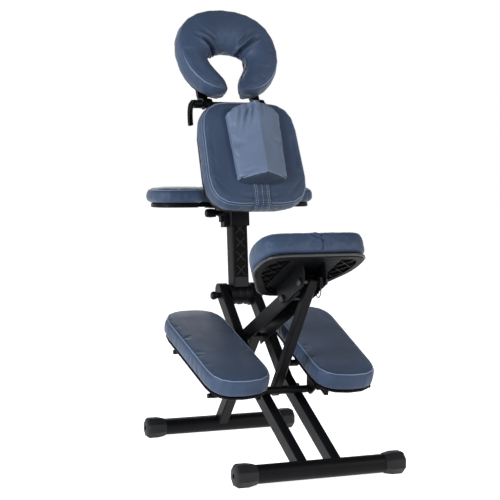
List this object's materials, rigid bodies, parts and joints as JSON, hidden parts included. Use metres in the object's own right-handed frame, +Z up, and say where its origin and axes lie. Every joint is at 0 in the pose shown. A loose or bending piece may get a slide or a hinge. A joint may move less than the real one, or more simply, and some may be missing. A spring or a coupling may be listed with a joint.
{
  "type": "kneeling massage chair",
  "caption": "Folding kneeling massage chair with seat, kneel pads, and a mast carrying an armrest, a chest pad with sternum bolster, and a horseshoe face cradle.",
  "frame": {"origin": "on the floor, under the centre of the object's bounding box", "axes": "+Z up, +Y the way the sitter faces, from the seat towards the mast, and +X towards the sitter's right"},
  "size_m": [0.5298, 0.8222, 1.3305],
  "materials": {
    "vinyl_cover": "satin",
    "frame_paint": "satin",
    "pad_board": "matte",
    "black_plastic": "satin",
    "bolt_steel": "satin",
    "foot_rubber": "matte"
  },
  "bodies": {
    "rear_frame": {"near_base_tube": "frame_paint", "near_foot_cap_left": "foot_rubber", "near_foot_cap_right": "foot_rubber", "rear_leg_left": "frame_paint", "rear_leg_right": "frame_paint", "kneel_stop_left": "frame_paint", "kneel_stop_right": "frame_paint", "kneeler_crossbar": "frame_paint", "scissor_pivot_bolt": "bolt_steel", "strut_pivot_bolt": "bolt_steel", "kneel_pivot_bolt_left": "bolt_steel", "kneel_pivot_bolt_right": "bolt_steel", "mast_pivot_bolt": "bolt_steel"},
    "front_frame": {"front_leg": "frame_paint", "far_base_tube": "frame_paint", "far_foot_cap_left": "foot_rubber", "far_foot_cap_right": "foot_rubber", "seat_arm": "frame_paint", "seat_bracket": "frame_paint", "seat_mount_bolt": "bolt_steel", "seat_latch_pin": "bolt_steel", "seat_board": "pad_board", "seat_cushion": "vinyl_cover"},
    "strut": {"seat_strut": "frame_paint"},
    "seat_latch": {"seat_latch_lever": "frame_paint"},
    "kneel_pad_left": {"kneel_board_left": "pad_board", "kneel_cushion_left": "vinyl_cover", "kneel_carrier_left": "frame_paint"},
    "kneel_pad_right": {"kneel_board_right": "pad_board", "kneel_cushion_right": "vinyl_cover", "kneel_carrier_right": "frame_paint"},
    "mast": {"mast_barrel": "frame_paint", "barrel_washer_left": "black_plastic", "barrel_washer_right": "black_plastic", "mast_column": "frame_paint", "mast_top_cap": "black_plastic"},
    "mast_knob": {"mast_pivot_knob": "black_plastic"},
    "armrest_slider": {"armrest_sleeve": "black_plastic", "armrest_hinge_bolt": "bolt_steel"},
    "armrest_height_screw": {"armrest_height_knob": "black_plastic"},
    "armrest": {"armrest_board": "pad_board", "armrest_cushion": "vinyl_cover", "armrest_bracket": "frame_paint"},
    "armrest_tilt_screw": {"armrest_tilt_knob": "black_plastic"},
    "chest_slider": {"chest_carriage": "black_plastic", "chest_hinge_bolt": "bolt_steel"},
    "chest_height_screw": {"chest_height_knob": "black_plastic"},
    "chest_pad": {"chest_cushion": "vinyl_cover", "chest_board": "pad_board", "chest_bracket": "frame_paint", "sternum_bolster": "vinyl_cover", "sternum_strap": "vinyl_cover", "cradle_sockets": "frame_paint"},
    "chest_tilt_screw": {"chest_tilt_knob": "black_plastic"},
    "cradle_posts": {"cradle_post_frame": "frame_paint"},
    "cradle_lever": {"cradle_cam_lever": "black_plastic"},
    "face_cradle": {"cradle_cushion": "vinyl_cover", "cradle_platform": "pad_board", "cradle_arm_left": "black_plastic", "cradle_arm_right": "black_plastic"}
  },
  "joints": [
    {"name": "frame_fold", "type": "hinge", "parent": "rear_frame", "child": "front_frame", "pos_m": [0, 0.08636, 0.33949], "axis": [-1, 0, 0], "range_deg": [0, 78]},
    {"name": "strut_swing", "type": "hinge", "parent": "rear_frame", "child": "strut", "pos_m": [0, -0.07864, 0.20449], "axis": [1, 0, 0], "range_deg": [0, 19.5]},
    {"name": "mast_fold", "type": "hinge", "parent": "rear_frame", "child": "mast", "pos_m": [0, 0.20436, 0.45149], "axis": [-1, 0, 0], "range_deg": [0, 78]},
    {"name": "seat_latch", "type": "hinge", "parent": "front_frame", "child": "seat_latch", "pos_m": [0, -0.32464, 0.52949], "axis": [1, 0, 0], "range_deg": [0, 30], "stiffness_Nm_per_rad": 0.3},
    {"name": "kneel_tilt_left", "type": "hinge", "parent": "rear_frame", "child": "kneel_pad_left", "pos_m": [0, -0.13364, 0.20649], "axis": [1, 0, 0], "range_deg": [0, 3]},
    {"name": "kneel_tilt_right", "type": "hinge", "parent": "rear_frame", "child": "kneel_pad_right", "pos_m": [0, -0.13364, 0.20649], "axis": [1, 0, 0], "range_deg": [0, 3]},
    {"name": "mast_knob_turn", "type": "hinge", "parent": "rear_frame", "child": "mast_knob", "pos_m": [0, 0.20436, 0.45149], "axis": [1, 0, 0], "continuous": true},
    {"name": "armrest_height", "type": "slide", "parent": "mast", "child": "armrest_slider", "axis": [0, 0.0854, 0.9963], "range_m": [-0.1, 0.05]},
    {"name": "armrest_height_turn", "type": "hinge", "parent": "armrest_slider", "child": "armrest_height_screw", "pos_m": [0, 0.25605, 0.67389], "axis": [0, 0.9963, -0.0854], "continuous": true},
    {"name": "armrest_tilt", "type": "hinge", "parent": "armrest_slider", "child": "armrest", "pos_m": [0, 0.28036, 0.69949], "axis": [-1, 0, 0], "range_deg": [0, 75]},
    {"name": "armrest_tilt_turn", "type": "hinge", "parent": "armrest_slider", "child": "armrest_tilt_screw", "pos_m": [0, 0.28036, 0.69949], "axis": [1, 0, 0], "continuous": true},
    {"name": "chest_height", "type": "slide", "parent": "mast", "child": "chest_slider", "axis": [0, 0.0854, 0.9963], "range_m": [-0.05, 0.04]},
    {"name": "chest_height_turn", "type": "hinge", "parent": "chest_slider", "child": "chest_height_screw", "pos_m": [0, 0.27023, 0.83928], "axis": [0, 0.9963, -0.0854], "continuous": true},
    {"name": "chest_tilt", "type": "hinge", "parent": "chest_slider", "child": "chest_pad", "pos_m": [0, 0.18436, 0.88649], "axis": [1, 0, 0], "range_deg": [-4, 12]},
    {"name": "chest_tilt_turn", "type": "hinge", "parent": "chest_slider", "child": "chest_tilt_screw", "pos_m": [0, 0.18436, 0.88649], "axis": [1, 0, 0], "continuous": true},
    {"name": "cradle_height", "type": "slide", "parent": "chest_pad", "child": "cradle_posts", "axis": [0, 0.3987, 0.9171], "range_m": [0, 0.12]},
    {"name": "cradle_tilt", "type": "hinge", "parent": "cradle_posts", "child": "face_cradle", "pos_m": [0, 0.24568, 1.03145], "axis": [1, 0, 0], "range_deg": [-25, 10]},
    {"name": "cradle_cam", "type": "hinge", "parent": "cradle_posts", "child": "cradle_lever", "pos_m": [0, 0.24568, 1.03145], "axis": [1, 0, 0], "range_deg": [0, 90]}
  ],
  "couplings": [
    {"joint": "strut_swing", "follows": "frame_fold", "ratio": 0.25},
    {"joint": "mast_fold", "follows": "frame_fold", "ratio": 1}
  ]
}
